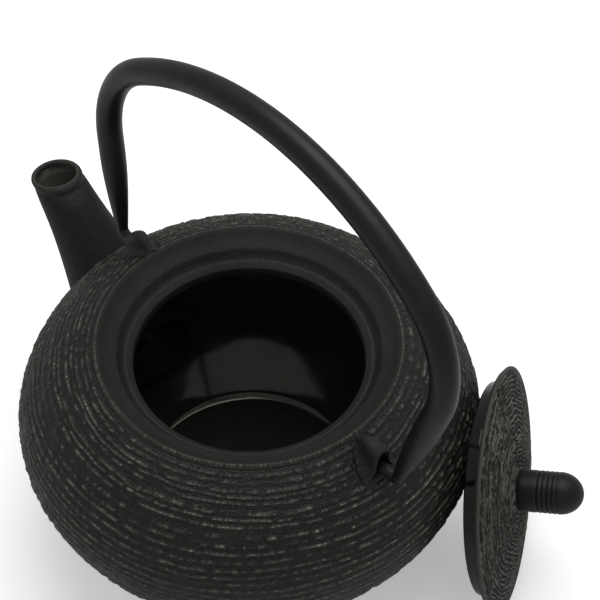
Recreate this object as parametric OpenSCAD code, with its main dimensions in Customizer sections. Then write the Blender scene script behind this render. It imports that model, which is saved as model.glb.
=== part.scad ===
// Cast iron teapot with a swinging bail and a loose lid leaning on its shoulder.
// Millimetres, +Z up.  The origin is the middle of the foot, on the surface that
// the pot stands on.  The spout points along -X and the bail swings about X.

/* [Body] */
// Radius of the body at the belly
belly_r = 84; // [80:0.5:90]
// Height of the belly above the foot
belly_h = 62.6; // [58:0.2:66]
// Height of the rim's crest above the foot
rim_h = 102; // [98:0.5:106]
// Radius of the rim's crest
rim_r = 53; // [51.5:0.25:54.5]
// Fullness of the shoulder, 2 being an ellipse
shoulder_fullness = 2.1; // [1.9:0.05:2.3]
// Fullness of the lower body, less than 2 being pointed
lower_fullness = 1.55; // [1.45:0.05:1.8]
// Height that the lower body would need to close to a point
lower_depth = 69.7; // [67:0.1:74]
// Thickness of the cast wall
wall = 4; // [3:0.25:5]
// Thickness of the cast bottom
bottom_t = 9; // [7:0.5:11]
// Thickness of the enamel inside the pot
enamel_t = 0.4; // [0.3:0.05:0.8]

/* [Foot] */
// Radius of the foot
foot_r = 43; // [40:0.5:46]
// Width of the foot's standing ring
foot_ring_w = 6; // [4:0.5:9]
// Depth of the hollow under the bottom
foot_recess = 1.5; // [1:0.25:3]
// Radius of the ground pad left where the iron was poured
gate_pad_r = 15; // [8:1:24]

/* [Mouth] */
// Radius of the mouth's bore
mouth_r = 40.8; // [39.5:0.1:41.2]
// Length of the mouth's bore
mouth_len = 3.7; // [3:0.1:5]
// Drop from the rim's crest to the collar's inner edge
collar_drop = 4.9; // [4:0.1:6]
// Width of the collar, from the crest to its inner edge
collar_w = 6.9; // [6:0.1:7.5]
// Hollowness of the collar's dished face
collar_dish = 0.5; // [0:0.1:1]
// Drop from the rim's crest to the outer edge of the lid's ledge
ledge_drop = 8.5; // [8:0.1:9.5]
// Fall of the ledge towards the mouth
ledge_fall = 1.5; // [1:0.1:2]
// Taper of the recess wall, at its foot
recess_taper = 1.55; // [1:0.05:2]

/* [Spout] */
// Distance of the spout's mouth from the pot's axis
spout_reach = 115.64; // [112:0.25:120]
// Height of the spout's mouth above the foot
spout_h = 95.26; // [90:0.25:100]
// Outer radius of the spout's lip
spout_lip_r = 9.87; // [9:0.1:11]
// Length of the lip's band
spout_lip_len = 2.4; // [1.8:0.1:3]
// Radius of the spout's opening
spout_bore_r = 7.84; // [6.5:0.1:8.4]
// Radius of the spout's neck under the lip
spout_neck_r = 9.9; // [9.2:0.1:11]
// Radius of the spout where it meets the body
spout_root_r = 19.1; // [17:0.1:21]
// Wall of the spout at its root
spout_root_wall = 4.5; // [3:0.25:6]
// Tilt of the spout's mouth towards its front
spout_mouth_tilt = 8.2; // [0:0.2:20]
// Lean of the spout's axis from upright
spout_lean = 42; // [38:0.5:46]

/* [Lugs] */
// Gap between a pivot pin and the shoulder under it, at a lug's outer face
pin_clear = 0.65; // [0.4:0.05:1.4]
// Distance of a lug's outer face from the pot's axis
lug_reach = 66; // [65:0.25:68]
// Height of a lug's roof over the rim's crest, at its outer end
lug_rise = 3.8; // [3.6:0.2:6]
// Half width of a lug's foot at its outer end
lug_foot_w = 6; // [5.5:0.1:7]
// Half width of a lug where it starts at the rim
lug_neck_w = 2.4; // [2:0.1:3]
// Depth of the pocket in a lug
lug_pocket = 7; // [6:0.25:8]
// Half width of the pocket at its foot
lug_pocket_w = 4.4; // [4:0.1:4.8]
// Depth of the pivot hole beyond the pocket
socket_len = 5.5; // [4.5:0.25:6]

/* [Bail] */
// Radius of the bail's tube
bail_r = 4.7; // [4:0.1:5.5]
// Wall of the bail's tube
bail_wall = 0.9; // [0.7:0.05:1.2]
// Height of the bail's centreline above the pivot axis, at its top
bail_h = 97.14; // [92:0.5:102]
// Radius of the bail's long top arc
bail_top_r = 120.8; // [115:1:126]
// Half of the angle that the top arc covers
bail_top_a = 33.34; // [31:0.25:35]
// Radius of the bail's corner arcs
bail_corner_r = 35.26; // [33:0.5:37]
// Height above the pivot axis at which the tube of each leg ends
tube_end_h = 2.6; // [2:0.1:5]
// Lean of each leg, inwards going down
bail_leg_a = 11.85; // [11:0.25:13]
// Length over which the tube narrows to its end
bail_taper = 33.4; // [24:1:38]
// Lean of the bail from upright, away from the lid
bail_lean = 6.6; // [0:0.5:12]
// Sideways play that the bail has taken up, towards the lid's side
bail_shift = 0.7; // [0:0.1:0.8]
// Least gap between a pin's tip and the bottom of its socket
pin_end_gap = 0.3; // [0.3:0.1:0.8]
// Radius of the pivot pins
pin_r = 2; // [1.7:0.05:2.05]
// Running clearance of a pin in its socket, on the radius
pin_gap = 0.08; // [0.04:0.01:0.1]
// Radius of the rod that each end is bent from
rod_r = 2.1; // [2.05:0.05:2.2]
// Centreline radius of the bend above each pin
elbow_r = 2.2; // [2.2:0.05:2.8]
// Radius of the shank that the tube is swaged onto
shank_r = 1.25; // [1:0.05:1.3]
// Length of that shank
shank_len = 12; // [8:0.5:16]

/* [Lid] */
// Gap round the lid when it lies in the recess
lid_gap = 1.1; // [0.7:0.1:1.5]
// Thickness of the lid's edge
lid_edge = 2; // [1.6:0.1:2.6]
// Rise of the lid's dome over its edge
lid_dome = 5.5; // [3:0.1:7]
// Thickness of the lid
lid_t = 3.6; // [3:0.1:4.5]
// Gap between the lid's flange and the mouth's bore
flange_gap = 1.7; // [1:0.1:2.4]
// Depth of the flange under the lid
flange_h = 4.8; // [4:0.1:7]
// Thickness of the flange
flange_t = 3; // [2.25:0.25:3.5]
// Thickness of the enamel under the lid
lid_enamel_t = 0.3; // [0.2:0.05:0.5]
// Compass angle of the leaning lid, from +X towards +Y
lid_place_a = 34.4; // [25:0.5:60]
// Turn of the lid's face from that direction
lid_turn = -1.2; // [-5:0.2:5]
// Upward tilt of the leaning lid's face
lid_tilt = 14.6; // [10:0.2:20]
// Gap between the leaning lid and the pot, and under the lid
lean_gap = 0.4; // [0.3:0.05:1]
// Gap between the leaning lid's edge and the surface below
ground_gap = 0.1; // [0.05:0.05:0.3]

/* [Knob] */
// Radius of the knob
knob_r = 7.7; // [7:0.1:9]
// Length of the knob above the lid
knob_len = 22.8; // [18:0.5:26]
// Height of the knob's rounded end
knob_dome = 8.5; // [5:0.25:9]
// Number of turned grooves
knob_grooves = 5; // [3:1:6]
// Depth of a turned groove
groove_d = 0.3; // [0.1:0.05:0.5]
// Spacing of the turned grooves
groove_step = 1.8; // [1.4:0.1:2]
// Radius of the knob screw
screw_r = 2; // [1.5:0.1:2.5]
// Radius of the screw's head
screw_head_r = 3.9; // [3.5:0.1:4.5]
// Height of the screw's head
screw_head_h = 2.4; // [2:0.1:3]
// Depth that the screw reaches into the knob
screw_grip = 12; // [8:0.5:14]
// Radius of the washer under the screw's head
washer_r = 6; // [5:0.1:7]
// Thickness of the washer
washer_t = 0.8; // [0.6:0.1:1.2]

/* [Hidden] */
$fn = 96;
iron = "#3a3936";
enamel = "#4a4a48";
steel = "#2a2a2b";

// ---- Body outline: radius at a height, for the outside and for each skin inside it
upper_depth = (rim_h - belly_h) / pow(1 - pow(rim_r / belly_r, 2), 1 / shoulder_fullness);

function skin_r(z, inset) =
    let (up = z > belly_h,
         depth = (up ? upper_depth : lower_depth) - inset,
         share = min(1, abs(z - belly_h) / depth))
    (belly_r - inset) * sqrt(1 - pow(share, up ? shoulder_fullness : lower_fullness));

// Height at which the lower body has a given radius
function lower_z(r, inset) =
    belly_h - (lower_depth - inset)
        * pow(1 - pow(r / (belly_r - inset), 2), 1 / lower_fullness);

// Height at which the shoulder has a given radius
function upper_z(r, inset) =
    belly_h + (upper_depth - inset)
        * pow(1 - pow(r / (belly_r - inset), 2), 1 / shoulder_fullness);

function lerp(a, b, t) = a + (b - a) * t;

outline_steps = 26;
function skin_line(z0, z1, inset) =
    [for (i = [0 : outline_steps])
        let (z = lerp(z0, z1, i / outline_steps)) [skin_r(z, inset), z]];

// ---- Mouth, collar and ledge
collar_in = [rim_r - collar_w, rim_h - collar_drop];
ledge_out = [collar_in[0] - recess_taper, rim_h - ledge_drop];
ledge_in = [mouth_r, ledge_out[1] - ledge_fall];
bore_low = ledge_in[1] - mouth_len;
bead_w = 0.9;
bead_rise = 0.7;
bead_z = upper_z(rim_r + 2 * bead_w, 0);
fillet_r = 1.2;
collar_steps = 4;

function collar_line() =
    [for (i = [0 : collar_steps])
        let (t = i / collar_steps)
        [lerp(rim_r - bead_w / 2, collar_in[0], t),
         lerp(rim_h - 0.25, collar_in[1], t) - collar_dish * 4 * t * (1 - t)]];

// The bail's pivot, and the cavity's top kept clear below the sockets of its pins
pivot_h = upper_z(lug_reach, 0) + pin_r + pin_clear;
socket_r = pin_r + pin_gap;
socket_floor = 1.2;
ceiling_z = pivot_h - socket_r - socket_floor;

// The cavity's corner over the bottom, rounded where the wall turns in
floor_z = bottom_t;
corner_r = 2.5;
function cavity_line(inset) =
    let (skin = wall + inset,
         low = floor_z + inset,
         turn = low + corner_r,
         edge = skin_r(turn, skin))
    concat([[0, low], [edge - corner_r, low], [edge - corner_r * 0.3, low + corner_r * 0.3]],
           skin_line(turn, ceiling_z - inset, skin),
           [[mouth_r, bore_low - inset]]);

module pot_outside() {
    foot_top = lower_z(foot_r, 0);
    foot_in = foot_r - foot_ring_w;
    rotate_extrude()
        polygon(concat(
            [[0, 0], [gate_pad_r, 0], [gate_pad_r, foot_recess], [foot_in, foot_recess],
             [foot_in, 0], [foot_r, 0]],
            skin_line(foot_top, bead_z, 0),
            [[rim_r + bead_w, bead_z + 0.2], [rim_r + bead_w / 2, rim_h - 0.25], [rim_r, rim_h]],
            collar_line(),
            [[ledge_out[0] + fillet_r, ledge_out[1] + fillet_r], ledge_out, ledge_in,
             [mouth_r, bore_low], [0, bore_low]]));
}

module pot_cavity() {
    rotate_extrude()
        polygon(concat(cavity_line(0), [[mouth_r, bore_low], [mouth_r, rim_h], [0, rim_h]]));
}

// ---- Spout: rings carried along two curves, one down to the body and one into it
spout_sides = 24;
spout_neck_len = 20;
spout_neck_ease = 4;
spout_run = 36;
spout_turn_len = 12;
spout_root_in = 24;
spout_root_fall = 10;
spout_mouth = [-spout_reach, spout_h];
spout_bend = spout_mouth
    + spout_neck_len * [sin(spout_lean - spout_neck_ease), -cos(spout_lean - spout_neck_ease)];
spout_foot = spout_bend + spout_run * [sin(spout_lean), -cos(spout_lean)];
spout_turn = spout_foot + spout_turn_len * [sin(spout_lean), -cos(spout_lean)];
spout_end = spout_foot + [spout_root_in, -spout_root_fall];
spout_flare = 1.7;
spout_tilt_len = 18;
spout_down = norm(spout_foot - spout_mouth);

function bezier(a, b, c, t) = a * pow(1 - t, 2) + b * 2 * t * (1 - t) + c * pow(t, 2);

// Share of the way at which each ring lies, close together under the lip
spout_cuts = [0.12, 0.18, 0.25, 0.33, 0.42, 0.52, 0.63, 0.75, 0.87, 1];
root_cuts = [0.25, 0.5, 0.75, 1];

function spout_point(t) = bezier(spout_mouth, spout_bend, spout_foot, t);
function spout_tilt(d) =
    let (t = min(1, max(0, (d - spout_lip_len) / spout_tilt_len)))
    lerp(spout_mouth_tilt, spout_lean, t * t * (3 - 2 * t));
function spout_r(d) =
    lerp(spout_neck_r, spout_root_r, pow(d / spout_down, spout_flare));
function bore_r(d) =
    lerp(spout_bore_r, spout_root_r - spout_root_wall, pow(d / spout_down, spout_flare));

// One ring across the spout: its middle, tilt and half widths along and across
function spout_ring(at, tilt, along, across) =
    [for (i = [0 : spout_sides - 1])
        let (a = 360 * i / spout_sides)
        [at[0] + along * cos(a) * cos(tilt), across * sin(a), at[1] + along * cos(a) * sin(tilt)]];

function spout_axis_down(d) = spout_mouth - d * [-sin(spout_mouth_tilt), cos(spout_mouth_tilt)];

function lip_rings() =
    [for (cut = [[0, -0.6], [0.6, 0], [spout_lip_len - 0.4, 0], [spout_lip_len, -0.4]])
        spout_ring(spout_axis_down(cut[0]), spout_mouth_tilt,
                   spout_lip_r + cut[1], spout_lip_r + cut[1])];

function body_rings(outside) =
    [for (t = spout_cuts)
        let (at = spout_point(t), d = norm(at - spout_mouth), tilt = spout_tilt(d),
             r = outside ? spout_r(d) : bore_r(d))
        spout_ring(at, tilt, r / cos(spout_lean - tilt), r)];

function root_rings(outside) =
    [for (t = root_cuts)
        let (at = bezier(spout_foot, spout_turn, spout_end, t),
             r = outside ? spout_root_r : spout_root_r - spout_root_wall)
        spout_ring(at, lerp(spout_lean, 90, t), r, r)];

// Closed solid through rings of equal length, each ring turning the same way
module swept(rings) {
    n = len(rings[0]);
    last = (len(rings) - 1) * n;
    polyhedron(
        points = [for (ring = rings) each ring],
        faces = concat(
            [[for (i = [n - 1 : -1 : 0]) i]],
            [for (k = [0 : len(rings) - 2], i = [0 : n - 1])
                let (a = k * n + i, b = k * n + (i + 1) % n) each [[a, b, a + n], [b, b + n, a + n]]],
            [[for (i = [0 : n - 1]) last + i]]));
}

module spout_outside() {
    swept(concat(lip_rings(), body_rings(true), root_rings(true)));
}

module spout_passage() {
    over = 1;
    swept(concat(
        [spout_ring(spout_axis_down(-over), spout_mouth_tilt, spout_bore_r, spout_bore_r),
         spout_ring(spout_axis_down(spout_lip_len), spout_mouth_tilt, spout_bore_r, spout_bore_r)],
        body_rings(false), root_rings(false)));
}

// ---- Lugs
lug_roof_r = 2.8;
lug_root_z = upper_z(lug_reach, 0) - wall;
pocket_wall_gap = 0.45;
pocket_roof_r = 1.9;
pocket_start = lug_reach - lug_pocket;

// Tent of iron from the rim out over the shoulder
module lug() {
    hull() {
        translate([lug_reach - 2, 0, rim_h + lug_rise - lug_roof_r])
            rotate([0, 90, 0]) cylinder(h = 2, r = lug_roof_r, $fn = 32);
        translate([rim_r + 0.6, 0, rim_h + 1.4 - lug_neck_w])
            sphere(r = lug_neck_w, $fn = 32);
        translate([lug_reach - 1, -lug_foot_w, lug_root_z])
            cube([2, 2 * lug_foot_w, 2]);
        translate([rim_r + 1, -lug_neck_w, lug_root_z])
            cube([2, 2 * lug_neck_w, 2]);
    }
}

// Hollow in a lug's outer face that the bail's elbow reaches into
module lug_hollow() {
    waist = pin_r + pocket_wall_gap;
    roof_z = rim_h + lug_rise - lug_roof_r - 0.9;
    foot_z = upper_z(lug_reach, 0);
    translate([pocket_start, 0, 0])
        rotate([90, 0, 90]) linear_extrude(lug_pocket + 4) {
            polygon([[-lug_pocket_w, foot_z], [lug_pocket_w, foot_z], [waist, pivot_h],
                     [pocket_roof_r, roof_z], [-pocket_roof_r, roof_z], [-waist, pivot_h]]);
            translate([0, roof_z]) circle(r = pocket_roof_r, $fn = 32);
        }
}

module socket() {
    translate([pocket_start - socket_len, 0, pivot_h])
        rotate([0, 90, 0]) cylinder(h = socket_len + 1, r = socket_r);
}

module both_sides() {
    children();
    mirror([1, 0, 0]) children();
}

module pot_body() {
    color(iron)
        difference() {
            union() {
                pot_outside();
                both_sides() lug();
            }
            pot_cavity();
            spout_passage();
            both_sides() lug_hollow();
            both_sides() socket();
        }
}

// The spout's casting outside the body, which its root runs into
module pot_spout() {
    color(iron)
        difference() {
            spout_outside();
            spout_passage();
            pot_outside();
        }
}

module pot_enamel() {
    color(enamel)
        difference() {
            rotate_extrude()
                polygon(concat(cavity_line(0), reversed(cavity_line(enamel_t))));
            spout_passage();
        }
}

function reversed(list) = [for (i = [len(list) - 1 : -1 : 0]) list[i]];

// ---- Bail: a top arc, two corner arcs and two straight legs in one leaning plane
corner_turn = 90 + bail_leg_a - bail_top_a;
top_centre = bail_h - bail_top_r;
corner_centre = [(bail_top_r - bail_corner_r) * sin(bail_top_a),
                 top_centre + (bail_top_r - bail_corner_r) * cos(bail_top_a)];
leg_top = corner_centre + bail_corner_r * [cos(bail_leg_a), -sin(bail_leg_a)];
leg_dir = [-sin(bail_leg_a), -cos(bail_leg_a)];
tube_trim = 1;
bail_leg = (leg_top[1] - tube_end_h) / cos(bail_leg_a) + tube_trim;
leg_end = leg_top + bail_leg * leg_dir;
bail_sides = 20;
top_rings = 8;
corner_rings = 9;
leg_rings = 6;

// Points and headings down one side, from the top's middle, as [x, z, heading, way to the end]
corner_len = bail_corner_r * corner_turn * PI / 180;
function bail_side() = concat(
    [for (i = [0 : top_rings - 1])
        let (a = bail_top_a * i / top_rings)
        [bail_top_r * sin(a), top_centre + bail_top_r * cos(a), a, bail_taper]],
    [for (i = [0 : corner_rings - 1])
        let (a = bail_top_a + corner_turn * i / corner_rings)
        [corner_centre[0] + bail_corner_r * sin(a), corner_centre[1] + bail_corner_r * cos(a), a,
         bail_taper]],
    [for (i = [0 : leg_rings])
        let (d = (bail_leg - tube_trim) * i / leg_rings)
        [leg_top[0] + d * leg_dir[0], leg_top[1] + d * leg_dir[1], 90 + bail_leg_a,
         bail_leg - d]]);

function tube_r(way) = lerp(rod_r, bail_r, sin(90 * min(1, way / bail_taper)));

function tube_ring(p, side, inset) =
    [for (i = [0 : bail_sides - 1])
        let (a = 360 * i / bail_sides, r = tube_r(p[3]) - inset)
        [side * (p[0] + r * cos(a) * sin(p[2])), r * sin(a), p[1] + r * cos(a) * cos(p[2])]];

// Every ring from the front leg's end over the top to the rear leg's end
function tube_rings(inset) =
    let (line = bail_side(), last = len(line) - 1)
    concat([for (i = [last : -1 : 1]) tube_ring(line[i], 1, inset)],
           [for (i = [0 : last]) tube_ring(line[i], -1, inset)]);

// A pipe: outer and inner skins joined by flat rings at both ends
module pipe(outer, inner) {
    n = len(outer[0]);
    m = len(outer);
    skin = n * m;
    function at(s, k, i) = s * skin + k * n + i % n;
    polyhedron(
        points = concat([for (ring = outer) each ring], [for (ring = inner) each ring]),
        faces = concat(
            [for (k = [0 : m - 2], i = [0 : n - 1])
                each [[at(0, k, i), at(0, k + 1, i), at(0, k, i + 1)],
                      [at(0, k, i + 1), at(0, k + 1, i), at(0, k + 1, i + 1)]]],
            [for (k = [0 : m - 2], i = [0 : n - 1])
                each [[at(1, k, i), at(1, k, i + 1), at(1, k + 1, i)],
                      [at(1, k, i + 1), at(1, k + 1, i + 1), at(1, k + 1, i)]]],
            [for (i = [0 : n - 1])
                each [[at(0, 0, i), at(0, 0, i + 1), at(1, 0, i)],
                      [at(0, 0, i + 1), at(1, 0, i + 1), at(1, 0, i)]]],
            [for (i = [0 : n - 1])
                each [[at(0, m - 1, i), at(1, m - 1, i), at(0, m - 1, i + 1)],
                      [at(0, m - 1, i + 1), at(1, m - 1, i), at(1, m - 1, i + 1)]]]));
}

// Stands the bail's plane on the pivot axis and leans it
module on_pivot() {
    translate([bail_shift, 0, pivot_h]) rotate([-bail_lean, 0, 0]) children();
}

module bail_tube() {
    color(steel)
        on_pivot() pipe(tube_rings(0), tube_rings(bail_wall));
}

// Solid end of the bail: shank in the tube, neck, tight bend and pivot pin
elbow_turn = 90 - bail_leg_a;
elbow_drop = elbow_r * (1 - sin(bail_leg_a));
neck_len = (leg_end[1] - elbow_drop) / cos(bail_leg_a) + tube_trim;
elbow_start = leg_end + (neck_len - tube_trim) * leg_dir;
elbow_centre = elbow_start + elbow_r * [-cos(bail_leg_a), sin(bail_leg_a)];
pin_tip = pocket_start - socket_len + bail_shift + pin_end_gap;
overlap = 0.3;

module bail_end() {
    translate([elbow_start[0], 0, elbow_start[1]])
        rotate([0, bail_leg_a, 0]) {
            translate([0, 0, -overlap])
                cylinder(h = neck_len + overlap, r = tube_r(tube_trim));
            cylinder(h = neck_len + shank_len, r = shank_r);
        }
    translate([elbow_centre[0], 0, elbow_centre[1]])
        rotate([90, 0, 0]) rotate([0, 0, -90])
            rotate_extrude(angle = elbow_turn) translate([elbow_r, 0]) circle(r = rod_r);
    translate([pin_tip, 0, 0])
        rotate([0, 90, 0]) cylinder(h = elbow_centre[0] - pin_tip + overlap, r = pin_r);
}

module bail_end_front() {
    color(steel) on_pivot() mirror([1, 0, 0]) bail_end();
}

module bail_end_rear() {
    color(steel) on_pivot() bail_end();
}

// ---- Lid, drawn about its own axis with its underside at height 0
lid_r = collar_in[0] - lid_gap;
flange_r = mouth_r - flange_gap;
lid_chamfer = 1.3;
hole_gap = 0.2;
lid_hole_r = screw_r + hole_gap;
dome_steps = 16;
knob_seat = lid_face(knob_r);

// Height of the lid's face at a radius, flat where the knob stands
function lid_face(r) = lid_edge + lid_dome * (1 - pow(max(r, knob_r) / lid_r, 2));
function lid_back(r) = lid_face(r) - lid_t;

function lid_under(inset) = concat(
    [[lid_r - lid_chamfer, inset], [flange_r - inset, inset], [flange_r - inset, inset - flange_h],
     [flange_r - flange_t + inset, inset - flange_h]],
    [for (i = [0 : dome_steps])
        let (r = lerp(flange_r - flange_t + inset, washer_r, i / dome_steps))
        [r, lid_back(r) + inset]]);

// Places the lid's own axis where it leans against the pot's shoulder
lid_low = lid_r * cos(lid_tilt) - lid_chamfer * sin(lid_tilt);
lid_z = lid_low + ground_gap;

// Distance of the lid from the pot's axis at which its flange would touch at a radius
function lean_out(r) =
    skin_r(lid_z + r * cos(lid_tilt) - flange_h * sin(lid_tilt), 0)
        + flange_h * cos(lid_tilt) + r * sin(lid_tilt);
lean_steps = 4;
lid_out = lean_gap
    + max([for (i = [0 : lean_steps]) lean_out(flange_r - flange_t * i / lean_steps)]);

module leaning() {
    rotate([0, 0, lid_place_a]) translate([lid_out, 0, lid_z])
        rotate([0, 90 - lid_tilt, lid_turn]) children();
}

module lid_casting() {
    color(iron)
        leaning()
            rotate_extrude()
                polygon(concat(
                    [[lid_hole_r, knob_seat]],
                    [for (i = [0 : dome_steps])
                        let (r = lerp(knob_r, lid_r, i / dome_steps)) [r, lid_face(r)]],
                    [[lid_r, lid_chamfer]],
                    lid_under(lid_enamel_t),
                    [[lid_hole_r, lid_back(washer_r) + lid_enamel_t]]));
}

module lid_enamel() {
    color(enamel)
        leaning()
            rotate_extrude()
                polygon(concat(lid_under(0), reversed(lid_under(lid_enamel_t))));
}

// ---- Knob and what holds it
module knob() {
    body = knob_len - knob_dome;
    groove_start = body - (knob_grooves - 1) * groove_step;
    color(steel)
        leaning() translate([0, 0, knob_seat])
            difference() {
                rotate_extrude()
                    polygon(concat(
                        [[0, 0], [knob_r, 0]],
                        [for (i = [0 : knob_grooves - 1])
                            let (z = groove_start + i * groove_step - 0.5)
                            each [[knob_r, z - 0.25], [knob_r - groove_d, z], [knob_r, z + 0.25]]],
                        [for (i = [0 : 12])
                            let (a = 90 * i / 12)
                            [knob_r * cos(a), body + knob_dome * sin(a)]]));
                translate([0, 0, -1]) cylinder(h = screw_grip + 1, r = screw_r);
            }
}

screw_seat = lid_back(washer_r) + lid_enamel_t - washer_t;

module knob_screw() {
    color("silver")
        leaning() {
            translate([0, 0, screw_seat - screw_head_h / 2])
                cylinder(h = knob_seat + screw_grip - screw_seat + screw_head_h / 2, r = screw_r);
            translate([0, 0, screw_seat - screw_head_h])
                cylinder(h = screw_head_h, r = screw_head_r);
        }
}

module knob_washer() {
    color("silver")
        leaning() translate([0, 0, screw_seat])
            difference() {
                cylinder(h = washer_t, r = washer_r);
                translate([0, 0, -1]) cylinder(h = washer_t + 2, r = lid_hole_r);
            }
}

pot_body();
pot_spout();
pot_enamel();
bail_tube();
bail_end_front();
bail_end_rear();
lid_casting();
lid_enamel();
knob();
knob_screw();
knob_washer();
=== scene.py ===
import bmesh
import bpy
import numpy as np
from mathutils import Matrix


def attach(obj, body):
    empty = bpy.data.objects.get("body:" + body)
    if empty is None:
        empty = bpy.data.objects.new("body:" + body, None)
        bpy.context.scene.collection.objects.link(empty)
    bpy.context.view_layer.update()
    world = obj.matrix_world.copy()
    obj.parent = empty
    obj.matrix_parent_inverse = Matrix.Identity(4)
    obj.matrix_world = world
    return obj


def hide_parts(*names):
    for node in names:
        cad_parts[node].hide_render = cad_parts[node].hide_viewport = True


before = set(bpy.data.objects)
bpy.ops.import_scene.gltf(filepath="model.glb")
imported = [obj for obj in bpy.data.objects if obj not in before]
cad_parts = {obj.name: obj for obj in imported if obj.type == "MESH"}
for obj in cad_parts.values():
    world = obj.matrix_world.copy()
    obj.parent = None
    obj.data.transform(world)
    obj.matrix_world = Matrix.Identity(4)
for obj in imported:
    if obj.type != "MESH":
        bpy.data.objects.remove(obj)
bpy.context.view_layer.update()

# ---- Camera, floor and light ------------------------------------------------------
# A seamless pale table top under a large overhead softbox and an even white room.
# None of it belongs to the teapot.
def placed(holder, right, up, back, place):
    """Adds an object to the scene with its own three axes turned to right, up and back,
    at place in metres."""
    bpy.context.collection.objects.link(holder)
    holder.matrix_world = Matrix([[right[i], up[i], back[i], place[i]] for i in range(3)]
                                 + [[0, 0, 0, 1]])
    return holder


look = bpy.data.cameras.new("camera")
look.sensor_width = 36.0
look.lens = 87.718
bpy.context.scene.camera = placed(
    bpy.data.objects.new("camera", look),
    right=(0.666294, 0.745544, 0.014706), up=(-0.572407, 0.498723, 0.650865),
    back=(0.477914, -0.442085, 0.759051), place=(0.2459, -0.20395, 0.4942))
bpy.context.scene.view_settings.view_transform = "Standard"


def node(tree, kind, sockets=None, **settings):
    """A shader node with its settings, its sockets given as constants or as links."""
    made = tree.nodes.new(kind)
    for name, value in settings.items():
        setattr(made, name, value)
    for name, value in (sockets or {}).items():
        socket = made.inputs[name]
        if isinstance(value, bpy.types.NodeSocket):
            tree.links.new(value, socket)
        else:
            socket.default_value = value
    return made


def blank(name):
    """A material with only an output, ready for nodes."""
    material = bpy.data.materials.new(name)
    material.use_nodes = True
    material.node_tree.nodes.clear()
    out = material.node_tree.nodes.new("ShaderNodeOutputMaterial")
    return material, material.node_tree, out


def surface(name, points, faces):
    """A mesh object from points in millimetres, in a list or in grids of any shape;
    its faces are turned to point outwards."""
    mesh = bpy.data.meshes.new(name)
    mesh.from_pydata((np.reshape(points, (-1, 3)) * 0.001).tolist(), [],
                     faces if isinstance(faces, list) else faces.tolist())
    piece = bpy.data.objects.new(name, mesh)
    bpy.context.collection.objects.link(piece)
    clean = bmesh.new()
    clean.from_mesh(mesh)
    bmesh.ops.remove_doubles(clean, verts=clean.verts, dist=1e-7)
    if clean.calc_volume(signed=True) < 0:
        bmesh.ops.reverse_faces(clean, faces=clean.faces)
    clean.to_mesh(mesh)
    clean.free()
    mesh.shade_smooth()
    return piece


table_half, table_grey, table_glow = 3000.0, 0.86, 0.31
floor = surface("floor", [(-table_half, -table_half, 0), (table_half, -table_half, 0),
                          (table_half, table_half, 0), (-table_half, table_half, 0)],
                [(0, 1, 2, 3)])
paper, tree, out = blank("table paper")
matt = node(tree, "ShaderNodeBsdfDiffuse", {"Color": (table_grey,) * 3 + (1,)})
white = node(tree, "ShaderNodeBsdfDiffuse", {"Color": (1, 1, 1, 1)})
glow = node(tree, "ShaderNodeEmission", {"Color": (1, 1, 1, 1), "Strength": table_glow})
seen = node(tree, "ShaderNodeAddShader", {0: white.outputs[0], 1: glow.outputs[0]})
rays = node(tree, "ShaderNodeLightPath")
mix = node(tree, "ShaderNodeMixShader", {"Fac": rays.outputs["Is Camera Ray"],
                                         1: matt.outputs[0], 2: seen.outputs[0]})
tree.links.new(mix.outputs[0], out.inputs["Surface"])
floor.data.materials.append(paper)

room_light = 0.48
room = bpy.data.worlds.new("room")
room.use_nodes = True
tree = room.node_tree
tree.nodes.clear()
out = tree.nodes.new("ShaderNodeOutputWorld")
rays = node(tree, "ShaderNodeLightPath")
walls = node(tree, "ShaderNodeBackground", {"Color": (1, 1, 1, 1), "Strength": room_light})
white = node(tree, "ShaderNodeBackground", {"Color": (1, 1, 1, 1), "Strength": 1.0})
mix = node(tree, "ShaderNodeMixShader", {"Fac": rays.outputs["Is Camera Ray"],
                                         1: walls.outputs[0], 2: white.outputs[0]})
tree.links.new(mix.outputs[0], out.inputs["Surface"])
bpy.context.scene.world = room


def softbox(name, place, aim, size, power):
    """A square area lamp at place, facing aim, in metres and watts."""
    lamp = bpy.data.lights.new(name, "AREA")
    lamp.size = size
    lamp.energy = power
    away = np.subtract(place, aim)
    away = away / np.linalg.norm(away)
    side = np.cross((0.0, 1.0, 0.1), away)
    side = side / np.linalg.norm(side)
    placed(bpy.data.objects.new(name, lamp), side, np.cross(away, side), away, place)


softbox("overhead softbox", place=(-0.15, 0.22, 1.1), aim=(0, 0, 0.05), size=0.8, power=6.2)

# ---- Cast pot ---------------------------------------------------------------------
# One iron casting: round body with a collar and ledge for the lid, spout and two lugs.
# Its skin carries rings of broken threads that the mould was pressed with, and the
# collar, spout and lugs are left plain.

# Lengths are in millimetres and heights from the table; the pot's axis is upright at
# x = y = 0 and the spout points along -x
belly_r, belly_h = 84.0, 62.6
rim_h, rim_r = 102.0, 53.0
shoulder_fullness, lower_fullness, lower_depth = 2.1, 1.55, 69.7
wall, bottom_t = 4.0, 9.0
upper_depth = ((rim_h - belly_h)
               / (1 - (rim_r / belly_r) ** 2) ** (1 / shoulder_fullness))


def skin_r(z, inset=0.0):
    """Radius of the body at height z, inset millimetres inside its skin: a rounded
    curve from the belly to a point above, and a leaner one to a point below."""
    z = np.asarray(z, float)
    high = z > belly_h
    depth = np.where(high, upper_depth, lower_depth) - inset
    share = np.minimum(1, np.abs(z - belly_h) / depth)
    power = np.where(high, shoulder_fullness, lower_fullness)
    return (belly_r - inset) * np.sqrt(1 - share ** power)


def lower_z(r, inset=0.0):
    """Height at which the lower body has radius r."""
    share = (1 - (r / (belly_r - inset)) ** 2) ** (1 / lower_fullness)
    return belly_h - (lower_depth - inset) * share


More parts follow.
